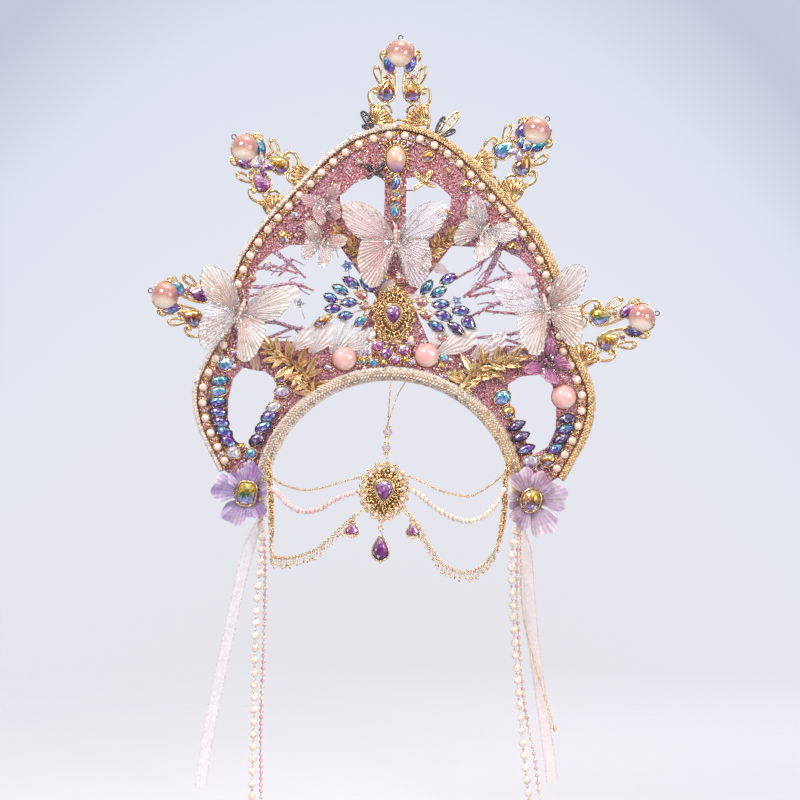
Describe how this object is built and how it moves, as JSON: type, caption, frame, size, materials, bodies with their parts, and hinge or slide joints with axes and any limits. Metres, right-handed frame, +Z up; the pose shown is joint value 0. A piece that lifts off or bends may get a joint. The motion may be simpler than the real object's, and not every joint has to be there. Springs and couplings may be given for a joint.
{
  "type": "fairy crown",
  "caption": "Tall pointed fairy crown on a padded headband, with open loops, jewelled finials, butterflies, a brow jewel on chains and hanging pearl strands.",
  "frame": {"origin": "middle of the underside of the headband, where the crown sits on top of a head", "axes": "+Z up along the crown's height, +X to the viewer's right, +Y to the back of the head"},
  "size_m": [0.3701, 0.1135, 0.5555],
  "materials": {
    "amethyst": "cut stones",
    "braid": "woven cream and gold braid",
    "catsEye": "glossy cat's eye resin",
    "glitter": "pink glitter",
    "gold": "polished gold plate",
    "magentaWing": "sheer cloth",
    "mauvePetal": "silk petals",
    "organza": "sheer organza",
    "pearl": "pearl lustre",
    "pinkBead": "glossy beads",
    "pinkWing": "sheer embroidered cloth",
    "rosy": "glossy domed resin",
    "violetPetal": "silk petals",
    "violetStone": "foiled cut stones",
    "whiteWing": "sheer embroidered cloth"
  },
  "bodies": {
    "crown": {"headband": "braid", "crown_plate": "glitter", "edge_braid_left": "braid", "edge_braid_right": "braid", "pearl_edging_left": "pearl", "pearl_edging_right": "pearl", "finial_ball_top": "catsEye", "finial_frame_top": "gold", "finial_ball_upper_left": "catsEye", "finial_frame_upper_left": "gold", "finial_ball_upper_right": "catsEye", "finial_frame_upper_right": "gold", "finial_ball_lower_left": "catsEye", "finial_frame_lower_left": "gold", "finial_ball_lower_right": "catsEye", "finial_frame_lower_right": "gold", "centre_medallion": "gold", "stone_spray_left": "violetStone", "stone_spray_right": "violetStone", "loop_stones_outer_left": "violetStone", "loop_stones_inner_left": "violetStone", "loop_stones_outer_right": "violetStone", "loop_stones_inner_right": "violetStone", "amethyst_cluster": "amethyst", "cabochon_left": "rosy", "cabochon_middle": "rosy", "cabochon_loop": "rosy", "opal_jewel": "gold", "leaf_spray_lower_left": "gold", "leaf_spray_lower_right": "gold", "leaf_spray_upper_left": "gold", "leaf_spray_upper_right": "gold", "butterfly_centre": "pinkWing", "butterfly_left": "whiteWing", "butterfly_right": "whiteWing", "butterfly_rose": "pinkWing", "butterfly_blush": "pinkWing", "butterfly_pearl": "whiteWing", "butterfly_magenta": "magentaWing", "flower_left": "violetPetal", "flower_right": "mauvePetal", "brow_medallion": "gold", "brow_chain": "gold", "dangle_chain_left": "gold", "dangle_chain_right": "gold", "pearl_swag_left": "pearl", "pearl_swag_right": "pearl", "fine_chain_left": "gold", "fine_chain_right": "gold", "side_drop_left": "amethyst", "side_drop_right": "amethyst", "pearl_strand_left": "pearl", "pearl_strand_right": "pearl", "pink_strand_left": "pinkBead", "pink_strand_right": "pinkBead", "gold_strand_right": "gold", "streamer_left": "organza", "streamer_right": "organza"},
    "brow_drop": {"brow_drop": "amethyst"}
  },
  "joints": [
    {"name": "drop_swing", "type": "hinge", "parent": "crown", "child": "brow_drop", "pos_m": [0.00242, -0.0956, -0.10114], "axis": [0, 1, 0], "range_deg": [-35, 35]}
  ]
}
